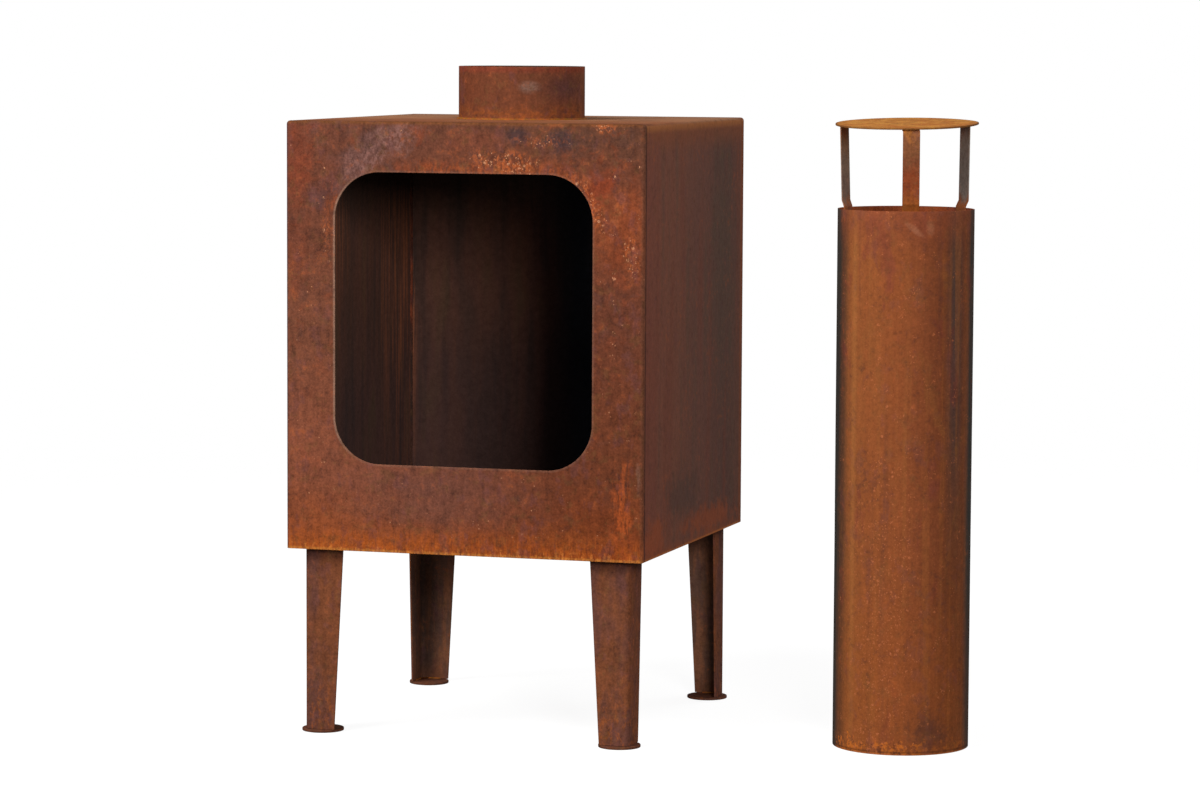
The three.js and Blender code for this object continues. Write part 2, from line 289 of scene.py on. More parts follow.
def srgb(red, green, blue):
    """A colour given as it looks on a screen, 0 to 255, in the linear values shaders use."""
    def linear(v):
        v /= 255
        return v / 12.92 if v <= 0.04045 else ((v + 0.055) / 1.055) ** 2.4
    return (linear(red), linear(green), linear(blue), 1)


class Nodes:
    """An emptied node tree, and short ways to add to it."""

    def __init__(self, owner):
        owner.use_nodes = True
        self.tree = owner.node_tree
        self.tree.nodes.clear()

    def node(self, kind, **settings):
        node = self.tree.nodes.new(kind)
        for key, value in settings.items():
            setattr(node, key, value)
        return node

    def join(self, value, socket):
        if isinstance(value, bpy.types.NodeSocket):
            self.tree.links.new(value, socket)
        else:
            socket.default_value = value

    def joined(self, node, *values):
        """The first output, if any, of a node whose first inputs take the values."""
        for value, socket in zip(values, node.inputs):
            self.join(value, socket)
        return node.outputs[0] if node.outputs else None


class Paint(Nodes):
    """One material's nodes, with short names for the patterns that rust is made of.

    Every pattern is laid out in the piece's own coordinates, measured in metres from origin,
    so it moves with the piece. colour, rough and height hold the work so far. The patterns
    are numbered as they are made, and the number shifts them, so their order matters."""

    def __init__(self, name, origin, colour=None):
        self.material = bpy.data.materials.new(name)
        super().__init__(self.material)
        place = self.node("ShaderNodeTexCoord").outputs["Object"]
        self.place = self.vector("SUBTRACT", place, tuple(origin))
        split = self.node("ShaderNodeSeparateXYZ")
        self.join(self.place, split.inputs[0])
        self.x, self.y, self.z = split.outputs
        self.colour, self.rough, self.height = colour, None, None
        self.number = 0
        self.rag = None

    def math(self, operation, a, b=0.0):
        return self.joined(self.node("ShaderNodeMath", operation=operation), a, b)

    def chain(self, operation, values):
        """One operation through all the values. A tuple among them is faded first."""
        result, *rest = [self.fade(*v) if isinstance(v, tuple) else v for v in values]
        for other in rest:
            result = self.math(operation, result, other)
        return result

    def times(self, *values):
        return self.chain("MULTIPLY", values)

    def plus(self, *values):
        return self.chain("ADD", values)

    def most(self, *values):
        return self.chain("MAXIMUM", values)

    def less(self, value, amount):
        return self.math("SUBTRACT", value, amount)

    def size(self, value):
        return self.math("ABSOLUTE", value)

    def sway(self, noise, amount):
        """Noise turned into a shift to either side of 0, amount from end to end."""
        return self.times(self.less(noise, 0.5), amount)

    def vector(self, operation, a, b=(0, 0, 0)):
        return self.joined(self.node("ShaderNodeVectorMath", operation=operation), a, b)

    def length(self, x, y, z):
        across = self.joined(self.node("ShaderNodeCombineXYZ"), x, y, z)
        node = self.node("ShaderNodeVectorMath", operation="LENGTH")
        self.join(across, node.inputs[0])
        return node.outputs["Value"]

    def angle(self):
        """Degrees round the upright axis through the origin: 0 at -Y, growing toward +X."""
        turn = self.math("ARCTAN2", self.x, self.times(self.y, -1.0))
        return self.times(turn, 180 / math.pi)

    def fade(self, value, start, end, low=0.0, high=1.0):
        """Goes smoothly from low, where value is start, to high, where it is end."""
        if start > end:
            start, end, low, high = end, start, high, low
        node = self.node("ShaderNodeMapRange", interpolation_type="SMOOTHSTEP")
        return self.joined(node, value, start, end, low, high)

    def hill(self, value, centre, half_width):
        """1 at centre, falling smoothly to 0 half_width away on either side."""
        return self.fade(self.size(self.less(value, centre)), 0, half_width, 1, 0)

    def shifted(self, scale, step):
        """The place in a pattern's own units, moved by the pattern's number."""
        self.number += 1
        scaled = self.vector("MULTIPLY", self.place, scale)
        return self.vector("ADD", scaled, tuple(s * self.number for s in step))

    def noise(self, size, detail, rough, tall=1, twist=0.0):
        """Soft noise whose features are about size millimetres across and tall times as high."""
        scale = [1 / (size * MM * s) for s in (1, 1, tall)]
        node = self.node("ShaderNodeTexNoise", noise_dimensions="3D")
        self.join(self.shifted(scale, (3.7, 1.3, 7.1)), node.inputs["Vector"])
        for name, value in (("Scale", 1.0), ("Detail", detail), ("Roughness", rough),
                            ("Distortion", twist)):
            node.inputs[name].default_value = value
        return node.outputs[0]

    def specks(self, spacing, size, share):
        """Round dots on about share of the cells of a pattern. Sizes are in millimetres."""
        node = self.node("ShaderNodeTexVoronoi", feature="F1")
        self.join(self.shifted((1 / (spacing * MM),) * 3, (5.3, 2.9, 1.7)), node.inputs["Vector"])
        node.inputs["Scale"].default_value = 1.0
        reach = size / 2 / spacing
        dot = self.fade(node.outputs["Distance"], reach * 0.45, reach, 1, 0)
        split = self.node("ShaderNodeSeparateColor")
        self.join(node.outputs["Color"], split.inputs[0])
        return self.times(dot, self.math("LESS_THAN", split.outputs[0], share))

    def patch(self, across, up, spot, reach, lean=0.0, ragged=1.0):
        """1 inside a ragged patch round spot, 0 outside. reach is half its width and height, both
        in millimetres, and lean turns it, in degrees, from level toward upright."""
        if self.rag is None:
            self.rag = self.less(self.noise(16, 5, 0.66), 0.5)
        u, v = self.less(across, spot[0] * MM), self.less(up, spot[1] * MM)
        c, s = math.cos(math.radians(lean)), math.sin(math.radians(lean))
        wide, high = reach[0] * MM, reach[1] * MM
        along = self.plus(self.times(u, c / wide), self.times(v, s / wide))
        aside = self.plus(self.times(v, c / high), self.times(u, -s / high))
        away = self.length(along, aside, 0.0)
        return self.fade(self.plus(away, self.times(self.rag, 2.4 * ragged)), 1.25, 0.35)

    def mix(self, share, a, b):
        node = self.node("ShaderNodeMix", data_type="RGBA")
        self.join(share, node.inputs["Factor"])
        for value, socket in ((a, node.inputs[6]), (b, node.inputs[7])):
            self.join(srgb(*value) if isinstance(value, tuple) else value, socket)
        return node.outputs[2]

    def ramp(self, value, *stops):
        """Colours along value: stops are (position, colour), blended smoothly between."""
        first, last = stops[0][0], stops[-1][0]
        node = self.node("ShaderNodeValToRGB")
        node.color_ramp.interpolation = "EASE"
        elements = node.color_ramp.elements
        while len(elements) < len(stops):
            elements.new(0.5)
        for element, (position, colour) in zip(elements, stops):
            element.position = (position - first) / (last - first)
            element.color = srgb(*colour)
        return self.joined(node, self.math("DIVIDE", self.less(value, first), last - first))

    def lay(self, colour, *masks):
        """Covers the work so far with a colour, as far as the product of the masks goes. A mask
        is a value, or a tuple of what fade() takes."""
        self.colour = self.mix(self.times(*masks), self.colour, colour)

    def brighten(self, amount):
        node = self.node("ShaderNodeVectorMath", operation="SCALE")
        self.join(self.colour, node.inputs[0])
        self.join(amount, node.inputs["Scale"])
        self.colour = node.outputs[0]

    def finish(self, relief, specular=0.1):
        """The shader, with a height whose full range is relief millimetres deep."""
        shader = self.node("ShaderNodeBsdfPrincipled")
        bump = self.node("ShaderNodeBump")
        bump.inputs["Distance"].default_value = relief * MM
        self.join(self.height, bump.inputs["Height"])
        self.join(self.colour, shader.inputs["Base Color"])
        self.join(self.rough, shader.inputs["Roughness"])
        shader.inputs["Specular IOR Level"].default_value = specular
        self.join(bump.outputs[0], shader.inputs["Normal"])
        self.joined(self.node("ShaderNodeOutputMaterial"), shader.outputs[0])
        return self.material


def rusty(p, gain=1.0, contrast=1.0, grain=1.0, hues=1.0):
    """Mottles the colour as all the rust is mottled, and gives it its roughness and height."""
    blotch = p.noise(38, 4, 0.6, twist=0.4)
    mottle = p.noise(8, 5, 0.7)
    fine = p.noise(2.6, 3, 0.7)
    streak = p.noise(5, 3, 0.6, tall=7)
    rusting = p.plus(mottle, p.times(blotch, 0.5))
    p.lay((158, 80, 38), (rusting, 0.80, 1.02), 0.46)
    p.lay((92, 58, 52), (rusting, 0.70, 0.50), 0.34)
    olive = p.noise(13, 4, 0.65)
    violet = p.noise(17, 4, 0.65, tall=1.6)
    p.lay((116, 80, 46), (olive, 0.54, 0.66), 0.30 * hues)
    p.lay((108, 66, 66), (violet, 0.54, 0.66), 0.34 * hues)
    tone = p.plus(1.0, p.sway(blotch, 0.50 * contrast), p.sway(mottle, 1.00 * contrast),
                  p.sway(fine, 1.00 * grain), p.sway(streak, 0.55 * contrast))
    p.brighten(p.times(tone, gain))
    p.rough = p.fade(p.plus(p.times(mottle, 0.6), p.times(fine, 0.4)), 0.3, 0.7, 0.93, 0.68)
    p.height = p.plus(p.times(mottle, 0.5), p.times(fine, 0.45), p.times(blotch, 0.3))


def speckle(p, share, zone, colour):
    """Scatters bright specks of new rust, crowded together where zone is high."""
    dots = p.specks(6.5, 4.6, share)
    small = p.specks(2.8, 2.0, share * 1.5)
    ragged = p.fade(p.noise(1.6, 2, 0.6), 0.42, 0.56)
    crowding = p.plus(p.noise(14, 4, 0.65), p.times(zone, 0.18))
    p.lay(colour, p.most(dots, small), ragged, (crowding, 0.60, 0.68), 0.8)


# ------------------------------------------------------------------ materials


def from_opening_edge(p):
    """Metres outward from the round-cornered edge of the fire opening, on the front panel."""
    half_x = BOX_HALF - OPENING_SIDE
    low, high = BOX_BOTTOM + OPENING_SILL, BOX_TOP - OPENING_HEAD
    from_x = p.less(p.size(p.x), half_x - OPENING_RADIUS)
    from_z = p.less(p.size(p.less(p.z, (low + high) / 2)), (high - low) / 2 - OPENING_RADIUS)
    return p.less(p.length(p.most(from_x, 0.0), 0.0, p.most(from_z, 0.0)), OPENING_RADIUS)


# Marks on the front, in the order they are laid: the middle and half size in millimetres, right
# and up from the middle of its top edge, the colour, its share, the lean and the graininess.
UPPER_MARKS = (
    ((-198, -42), (24, 52), (130, 62, 40), 0.6),
    ((-198, -150), (22, 60), (124, 64, 42), 0.6),
    ((-112, -32), (72, 20), (100, 68, 62), 0.7, 38),
    ((-98, -30), (58, 20), (142, 98, 88), 0.8, 34, 0.9),
    ((-163, -80), (22, 15), (90, 62, 62), 0.7, 60, 0.3),
    ((-158, -62), (26, 12), (136, 72, 48), 0.6, 50, 0.6),
    ((60, -14), (18, 13), (74, 54, 54), 0.85),
    ((128, -22), (40, 18), (92, 60, 48), 0.7, 0, 0.4),
    ((112, -20), (20, 13), (72, 54, 55), 0.8),
    ((190, -26), (20, 26), (98, 62, 46), 0.7, 0, 0.3),
    ((20, -20), (42, 16), (132, 70, 48), 0.5),
    ((182, -112), (30, 58), (138, 66, 36), 0.7, 8),
    ((158, -70), (14, 30), (140, 62, 36), 0.8, -40),
    ((176, -96), (10, 40), (158, 88, 54), 0.6, -12, 1.0),
)
LOWER_MARKS = (
    ((120, -455), (60, 16), (150, 78, 36), 0.6, 0, 0.8),
    ((203, -386), (3, 18), (134, 100, 84), 0.6, 0, 0.5),
    ((-60, -430), (110, 14), (128, 78, 60), 0.4, 0, 0.8),
)
SPECK_CROWDS = (                  # where bright specks crowd together: middle, half size, lean
    ((44, -43), (52, 15), -6),
    ((134, -68), (26, 12), -45),
    ((154, -98), (26, 10), -65),
    ((194, -140), (10, 30), 0),
    ((165, -6), (14, 6), 0),
)


def front_paint():
    """Front of the firebox: red-brown, plum toward the top, orange along its lower edge."""
    p = Paint("front_rust", BOX_CENTRE)
    height = p.less(p.z, BOX_BOTTOM)
    drop = p.less(p.z, BOX_TOP)
    left = p.ramp(height, (0.0, (164, 82, 36)), (0.03, (154, 80, 44)), (0.09, (142, 80, 56)),
                  (0.26, (125, 73, 52)), (0.40, (114, 65, 47)), (0.478, (116, 67, 49)))
    right = p.ramp(height, (0.0, (148, 68, 26)), (0.03, (124, 60, 30)), (0.10, (114, 60, 37)),
                   (0.29, (112, 61, 42)), (0.36, (134, 71, 44)), (0.42, (116, 64, 44)),
                   (0.478, (104, 64, 46)))
    p.colour = p.mix(p.fade(p.x, -0.13, 0.15), left, right)
    p.lay((112, 70, 58), (height, 0.012, 0.05), (height, 0.12, 0.07), p.hill(p.x, -0.03, 0.17), 0.7)

    crystals = p.noise(3.2, 3, 0.7, tall=1.5)
    flecks = p.noise(5, 4, 0.7, tall=2.4)
    restless = p.fade(height, 0.16, 0.40, 0.35, 1.0)
    warm = p.noise(22, 5, 0.66, twist=0.5)
    dusky = p.noise(26, 5, 0.66, twist=0.5)
    p.lay((142, 68, 40), restless, (warm, 0.52, 0.64), 0.5)
    p.lay((98, 66, 58), restless, (dusky, 0.52, 0.64), 0.5)

    def blot(spot, reach, colour, share, lean=0.0, grainy=0.0):
        mask = p.patch(p.x, drop, spot, reach, lean)
        if grainy:
            mask = p.times(mask, (crystals, 0.40, 0.60, 1 - grainy, 1.0))
        p.lay(colour, mask, share)

    for mark in UPPER_MARKS:
        blot(*mark)
    drips = p.noise(4, 4, 0.7, tall=5)
    p.lay((178, 84, 38), p.patch(p.x, drop, (184, -424), (13, 50)), 0.9, (drips, 0.40, 0.54))
    for mark in LOWER_MARKS:
        blot(*mark)

    edge = from_opening_edge(p)
    head = p.times((p.z, BOX_TOP - 0.070, BOX_TOP - 0.060), (p.x, -0.085, -0.05))
    curve = p.times((p.z, BOX_TOP - 0.12, BOX_TOP - 0.075), (p.x, -0.14, -0.155))
    p.lay((158, 78, 42), (edge, 0.020, 0.003), p.most(head, curve), (flecks, 0.40, 0.58), 0.85)
    p.lay((180, 88, 30), (height, 0.034, 0.0), (drips, 0.56, 0.44), 0.85)
    p.lay((222, 130, 58), (height, 0.012, 0.002), (flecks, 0.54, 0.62), 0.8)
    p.lay((206, 128, 56), (height, 0.0040, 0.0016), (drips, 0.66, 0.44), 0.85)
    p.lay((156, 118, 98), (edge, 0.0030, 0.0010), (p.x, -0.12, -0.15, 0.22, 0.85))
    # painted highlight: an orange line along the top fold
    p.lay((116, 68, 38), (p.z, BOX_TOP - 0.005, BOX_TOP - 0.001))
    # painted highlight down the right fold, painted shade down the left fold
    bend_highlight_and_shade = p.fade(p.size(p.x), BOX_HALF - 0.004, BOX_HALF - 0.001)
    p.lay((136, 88, 66), bend_highlight_and_shade, 0.4, (p.x, -0.1, 0.1))
    p.lay((84, 56, 60), bend_highlight_and_shade, 0.6, (p.x, 0.1, -0.1))

    crowds = [p.patch(p.x, drop, *place, ragged=0.6) for place in SPECK_CROWDS]
    faint = p.most(p.patch(p.x, drop, (-158, -118), (8, 40)),
                   p.patch(p.x, drop, (92, -20), (34, 8), ragged=0.6))
    crowd = p.most(p.times(faint, 0.45), *crowds)
    curls = p.noise(4.5, 4, 0.7, tall=1.6, twist=0.6)
    p.lay((186, 96, 50), crowd, (curls, 0.48, 0.58), 0.8)
    p.lay((106, 54, 36), crowd, (curls, 0.46, 0.38), 0.5)
    rusty(p, gain=0.90, contrast=1.15, grain=1.15)
    speckle(p, 0.42, p.times(crowd, 1.25), (224, 156, 114))
    return p.finish(0.5)


def side_paint():
    """Sides, top and back of the firebox: smoother mill scale, darker and plum-brown."""
    p = Paint("casing_rust", BOX_CENTRE)
    rise = p.less(p.z, BOX_BOTTOM)
    p.colour = p.ramp(p.y, (-0.208, (134, 78, 62)), (-0.10, (134, 84, 66)), (0.02, (122, 80, 67)),
                      (0.13, (108, 74, 64)), (0.208, (118, 78, 64)))
    runs = p.noise(26, 3, 0.5, tall=12)
    p.lay((128, 72, 56), (runs, 0.52, 0.68), 0.45)
    p.lay((104, 80, 66), (runs, 0.48, 0.32), 0.45)
    for spot, reach, colour, share in (((-50, 60), (70, 30), (94, 72, 64), 0.6),
                                       ((60, 20), (120, 18), (164, 84, 50), 0.75),
                                       ((-160, 22), (50, 26), (164, 84, 50), 0.75),
                                       ((110, 300), (60, 150), (96, 80, 66), 0.4)):
        p.lay(colour, p.patch(p.y, rise, spot, reach), share)

    exposed = p.most((p.y, 0.190, 0.203), (p.x, -0.190, -0.204))
    weather = p.noise(38, 5, 0.62, tall=3.5, twist=0.25)
    stains = p.noise(8, 4, 0.6, tall=10)
    p.lay((152, 82, 50), exposed, (weather, 0.48, 0.66), 0.6)
    p.lay((92, 66, 58), exposed, (weather, 0.50, 0.32), 0.6)
    p.lay((94, 62, 50), exposed, (stains, 0.52, 0.62), (p.z, BOX_TOP - 0.34, BOX_TOP), 0.5)
    p.lay((146, 84, 54), (p.z, BOX_TOP - 0.040, BOX_TOP - 0.010), 0.7)
    # painted highlight: a light orange line along the top folds
    p.lay((176, 108, 62), (p.z, BOX_TOP - 0.012, BOX_TOP - 0.004))

    pools = p.noise(46, 4, 0.6, twist=0.5)
    flat = p.ramp(p.y, (-0.208, (136, 76, 42)), (-0.13, (156, 92, 56)), (0.0, (172, 116, 80)),
                  (0.15, (168, 118, 84)), (0.208, (150, 106, 84)))
    flat = p.mix(p.times((pools, 0.5, 0.64), 0.35), flat, (166, 116, 80))
    flat = p.mix(p.times((pools, 0.46, 0.34), 0.4), flat, (118, 78, 60))
    p.lay(flat, (p.z, BOX_TOP - 0.003, BOX_TOP - 0.001))

    p.lay((160, 84, 46), (rise, 0.012, 0.0, 0.0, 0.5))
    p.lay((196, 112, 56), (rise, 0.0035, 0.0012, 0.0, 0.8))
    # painted shade: a dark line at the front edge, in the seam beside the front pan
    p.lay((40, 22, 18), (p.y, CASING_LOW.y + 0.004, CASING_LOW.y + 0.001), 0.75)
    rim = p.most((p.size(p.x), BOX_HALF - 0.014, BOX_HALF - 0.003),
                 (p.z, BOX_TOP - 0.014, BOX_TOP - 0.003), (rise, 0.014, 0.003))
    p.lay((150, 82, 50), (p.y, CASING_HIGH.y - 0.012, CASING_HIGH.y - 0.003), rim, 0.6)
    rusty(p, gain=0.92, contrast=0.28, grain=0.40, hues=0.6)
    return p.finish(0.3, specular=0.12)


def inside_paint():
    """Inside of the firebox: a skin of soot over brown rust, in soft upright runs, and painted
    shade.
    """
    p = Paint("inside_soot_and_shade", BOX_CENTRE, (92, 66, 57))
    runs = p.noise(16, 4, 0.55, tall=14)
    wide = p.noise(46, 3, 0.6, tall=5)
    mottle = p.noise(7, 4, 0.65)
    fine = p.noise(2.4, 3, 0.7)
    p.lay((110, 72, 60), (wide, 0.36, 0.64))
    p.lay((118, 76, 58), (runs, 0.50, 0.66), 0.4)
    p.lay((66, 54, 50), (runs, 0.48, 0.34), 0.45)
    p.lay((78, 62, 64), (p.z, BOX_BOTTOM + 0.27, BOX_BOTTOM + 0.12), 0.35)
    p.lay((88, 78, 54), (wide, 0.52, 0.70), 0.35)

    lines = p.noise(5, 3, 0.6, tall=30)
    on_side = p.fade(p.size(p.x), 0.198, 0.204)
    far = p.times(on_side, (p.y, 0.06, 0.15))
    near = p.times(on_side, p.hill(p.y, -0.06, 0.07), (p.z, BOX_TOP - 0.24, BOX_TOP - 0.12))
    p.lay((160, 96, 66), p.most(far, near), (lines, 0.46, 0.60),
          (p.z, BOX_TOP - 0.06, BOX_TOP - 0.12),
          (p.z, BOX_BOTTOM + 0.10, BOX_BOTTOM + 0.24, 0.25, 0.75))
    # soot and painted shade: dark olive under the top
    p.lay((42, 48, 40), (p.z, BOX_TOP - 0.15, BOX_TOP - 0.04), 0.65)
    # painted shade: dark blue-grey over the right of the back wall
    p.lay((22, 32, 42), (p.x, -0.07, 0.01), (p.y, 0.1, 0.2), 0.9)
    p.brighten(p.plus(1.0, p.sway(mottle, 0.7), p.sway(fine, 0.6)))
    p.rough = p.fade(mottle, 0.3, 0.7, 0.98, 0.8)
    p.height = p.plus(p.times(mottle, 0.7), p.times(runs, 0.3))
    return p.finish(0.4, specular=0.06)


def floor_paint():
    """Floor of the firebox: thin ash scattered over scorched rust, and bare rust below it."""
    p = Paint("fire_floor_ash", BOX_CENTRE)
    drift = p.noise(70, 5, 0.68)
    crumbs = p.noise(3, 4, 0.8)
    ash = p.plus(drift, p.sway(crumbs, 0.35))
    above = p.mix(p.fade(ash, 0.46, 0.60), (54, 36, 29), (84, 73, 66))
    below = p.mix(p.fade(drift, 0.42, 0.60), (98, 60, 46), (140, 78, 46))
    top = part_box("floor_plate")[1].z
    p.colour = p.mix(p.fade(p.z, top - 0.0012, top - 0.0004), below, above)
    p.brighten(p.plus(1.0, p.sway(crumbs, 1.1)))
    p.rough = p.fade(drift, 0.4, 0.6, 0.85, 1.0)
    p.height = p.plus(drift, crumbs)
    return p.finish(0.8, specular=0.06)


def collar_paint():
    """Collar on the top: red-brown, orange where the weld's heat broke the scale, a painted
    highlight.
    """
    p = Paint("collar_rust", BOX_CENTRE)
    up = p.less(p.z, BOX_TOP)
    around = p.angle()
    p.colour = p.ramp(around, (-180, (112, 64, 44)), (-60, (110, 58, 36)), (10, (113, 63, 41)),
                      (40, (116, 66, 44)), (60, (114, 64, 44)), (88, (120, 70, 46)),
                      (120, (112, 64, 46)), (180, (112, 64, 44)))
    breakup = p.noise(12, 4, 0.65, tall=0.5)
    p.lay((150, 80, 36), (up, 0.022, 0.002), (breakup, 0.35, 0.6), 0.75)
    p.lay((84, 56, 56), p.hill(up, 0.036, 0.022), p.hill(around, 62, 34), 0.7)
    p.lay((132, 58, 40), (up, 0.050, 0.057), 0.6)
    # painted highlight: a pale spot on the front right
    from_painted_highlight = p.length(p.times(p.less(around, 25), 0.7 * MM), 0.0, p.less(up, 0.037))
    p.lay((146, 124, 112), (from_painted_highlight, 0.010, 0.0), (breakup, 0.40, 0.60, 0.4, 1.0), 0.6)
    rusty(p, contrast=0.8)
    return p.finish(0.4)


def leg_paint():
    """Legs: the same red-brown, a painted shadow under the box and orange toward the feet."""
    p = Paint("leg_rust", BOX_CENTRE, (108, 66, 54))
    warmth = p.noise(40, 4, 0.6, tall=2.5)
    chips = p.noise(6, 4, 0.7, tall=2)
    p.lay((126, 72, 45), (warmth, 0.38, 0.60))
    p.lay((156, 84, 40), (p.z, 0.10, 0.01), (chips, 0.48, 0.62), 0.7)
    # painted shadow: the top of each leg darkened under the box
    p.lay((52, 30, 28), (p.z, BOX_BOTTOM - 0.018, BOX_BOTTOM), 0.6)
    p.lay((92, 56, 40), (p.z, 0.0036, 0.0030, 0.0, 0.7))
    rusty(p, grain=1.1)
    return p.finish(0.4)


def leg_inside_paint():
    """Hollow side of the legs: mill scale that the rain hardly reaches, with painted shade in the
    fold and at the top.
    """
    p = Paint("leg_scale", BOX_CENTRE, (110, 78, 64))
    p.lay((140, 90, 64), (p.noise(10, 4, 0.6, tall=6), 0.40, 0.62))
    # painted shade: dark in the fold of the angle, and at the top under the box
    p.lay((38, 32, 30), (p.size(p.x), 0.152, 0.188), (p.size(p.y), 0.152, 0.188), 0.65)
    p.lay((42, 32, 30), (p.z, BOX_BOTTOM - 0.05, BOX_BOTTOM), 0.7)
    p.lay((112, 68, 46), (p.z, 0.03, 0.004), 0.5)
    rusty(p, contrast=0.7, grain=0.8)
    return p.finish(0.4)


def pipe_paint():
    """Flue pipe: orange-brown in soft upright bands, with painted light and shade across it."""
    p = Paint("flue_rust", FLUE_AXIS)
    around = p.angle()
    girth = p.times(around, math.radians(1) * PIPE_RADIUS)
    drop = p.less(p.z, PIPE_LENGTH)
    # painted shading: lighter on the left front, darker to the right, dark on both flanks
    p.colour = p.ramp(around, (-180, (112, 66, 44)), (-110, (80, 56, 46)), (-76, (38, 39, 38)),
                      (-62, (44, 42, 38)), (-51, (92, 62, 44)), (-38, (151, 87, 46)),
                      (-15, (146, 80, 42)), (5, (143, 77, 41)), (25, (137, 73, 41)),
                      (40, (130, 69, 40)), (55, (122, 66, 38)), (74, (122, 68, 42)),
                      (81, (80, 64, 56)), (88, (56, 55, 54)), (104, (56, 55, 54)),
                      (120, (92, 62, 50)), (180, (112, 66, 44)))
    high = p.fade(p.z, 0.16, 0.44)
    # painted shade and reflection: a grey stripe high on the right flank
    p.lay((74, 64, 60), high, p.hill(around, 60, 14), 0.8)
    p.lay((136, 78, 46), high, p.hill(around, 78, 9), 0.7)
    bands = p.noise(13, 4, 0.55, tall=40)
    p.lay((154, 90, 46), (bands, 0.52, 0.66), 0.45)
    p.lay((108, 62, 44), (bands, 0.48, 0.34), 0.45)
    blush = p.noise(34, 4, 0.62, tall=2.6, twist=0.4)
    p.lay((122, 58, 46), (blush, 0.56, 0.68), 0.5)
    p.lay((142, 86, 44), (blush, 0.44, 0.32), 0.4)
    # painted highlight: a light upright band left of the middle
    p.lay((170, 106, 56), p.hill(around, -34, 5), 0.5)
    p.lay((158, 84, 34), (p.z, 0.26, 0.06), 0.30)
    p.lay((140, 72, 48), (drop, -0.05, -0.004), 0.5)
    for spot, reach, lean in (((23, -17), (9, 3.4), -35), ((31, -24), (8, 3), -30),
                              ((44, -19), (5, 8), 10)):
        p.lay((170, 108, 78), p.patch(girth, drop, spot, reach, lean, ragged=0.9), 0.4)
    p.lay((84, 52, 42), p.patch(girth, p.z, (50, 24), (24, 22)), 0.6)

    chips = p.noise(9, 5, 0.72)
    crust = p.noise(5, 4, 0.7)
    ring = p.times((p.plus(p.z, p.sway(chips, 0.09)), 0.014, 0.006), (around, 40, 10, 0.35, 1.0))
    p.lay((208, 112, 40), ring, (crust, 0.44, 0.54), 0.8)
    p.lay((92, 48, 30), ring, (crust, 0.46, 0.38), 0.5)
    p.lay((84, 44, 26), p.hill(p.z, 0.0032, 0.0020), 0.6)
    p.lay((198, 114, 54), (p.z, 0.0016, 0.0006, 0.0, 0.65))
    centre = p.times((p.z, 0.46, 0.16), p.hill(around, -4, 44))
    rusty(p, contrast=0.55, grain=0.65, hues=0.6)
    speckle(p, 0.65, p.plus(0.3, centre), (190, 108, 66))
    # painted shade: the dark flank bands again, with ragged edges
    frayed = p.plus(around, p.sway(p.noise(7, 4, 0.55, tall=30), 60))
    left = p.times((around, -50, -64), (frayed, -118, -92), 0.88)
    right = p.times((around, 79, 87), (frayed, 124, 104), 0.65)
    p.lay((62, 59, 54), p.most(left, right))
    return p.finish(0.35)


def pipe_inside_paint():
    """Inside of the flue: warm rust at the mouth, soot further down."""
    p = Paint("flue_inside", FLUE_AXIS)
    mottle = p.noise(8, 4, 0.65)
    p.colour = p.ramp(p.less(PIPE_LENGTH, p.z), (0.0, (150, 74, 40)), (0.03, (140, 68, 38)),
                      (0.12, (60, 36, 28)), (0.594, (30, 22, 20)))
    rusty(p, contrast=0.8)
    p.height = p.plus(p.height, mottle)
    return p.finish(0.4, specular=0.08)


def cap_paint():
    """Rain cap's disc: ochre, the brightest rust, as it lies flat in the rain."""
    p = Paint("cap_rust", FLUE_AXIS, (186, 112, 46))
    p.lay((208, 140, 62), (p.noise(22, 4, 0.62, twist=0.6), 0.40, 0.62))
    p.lay((98, 64, 36), (p.length(p.x, p.y, 0.0), CAP_RADIUS - 0.0026, CAP_RADIUS - 0.0008), 0.7)
    rusty(p, contrast=0.8, hues=0.4)
    return p.finish(0.4)


def strap_paint():
    """Cap straps: blue-grey mill scale and painted sheen between warm ends, the front one rusted all
    over.
    """
    p = Paint("strap_rust", FLUE_AXIS)
    wear = p.noise(14, 4, 0.65, tall=2)
    drop = p.plus(p.less(p.z, PIPE_LENGTH + CAP_HEIGHT), p.sway(wear, 0.05))
    # painted sheen: the blue-grey middle of the straps, over mill scale
    p.colour = p.ramp(drop, (-0.14, (136, 76, 44)), (-0.092, (156, 89, 49)),
                      (-0.074, (130, 105, 91)), (-0.045, (136, 110, 92)),
                      (-0.020, (152, 110, 80)), (-0.004, (176, 101, 50)))
    # painted light: the upper part of the right strap laid a lighter grey
    p.lay((151, 140, 131), (p.x, 0.02, 0.05, 0.0, 0.75), (drop, -0.092, -0.074))
    rusted = p.ramp(drop, (-0.14, (140, 68, 26)), (-0.092, (152, 80, 28)), (-0.060, (134, 60, 26)),
                    (-0.040, (122, 66, 38)), (-0.022, (134, 80, 46)), (-0.006, (176, 106, 44)))
    p.lay(rusted, (p.size(p.less(p.angle(), 16)), 60, 30))
    rusty(p, contrast=0.7)
    p.rough = p.times(p.rough, 0.9)
    return p.finish(0.3, specular=0.16)


def fastener_paint():
    """Bolts and nuts: dark zinc gone brown."""
    p = Paint("fastener_rust", BOX_CENTRE, (72, 56, 48))
    p.lay((112, 66, 42), (p.noise(4, 4, 0.65), 0.42, 0.58))
    rusty(p, contrast=0.7)
    p.rough = p.times(p.rough, 0.75)
    return p.finish(0.15, specular=0.45)


def weld_paint(name, origin, size, ground, bright, contrast):
    """Weld beads outside: bright orange rust in the valleys between ripples."""
    p = Paint(name, origin, ground)
    p.lay(bright, (p.noise(size, 4, 0.7), 0.40, 0.60))
    rusty(p, contrast=contrast)
    return p.finish(0.3)


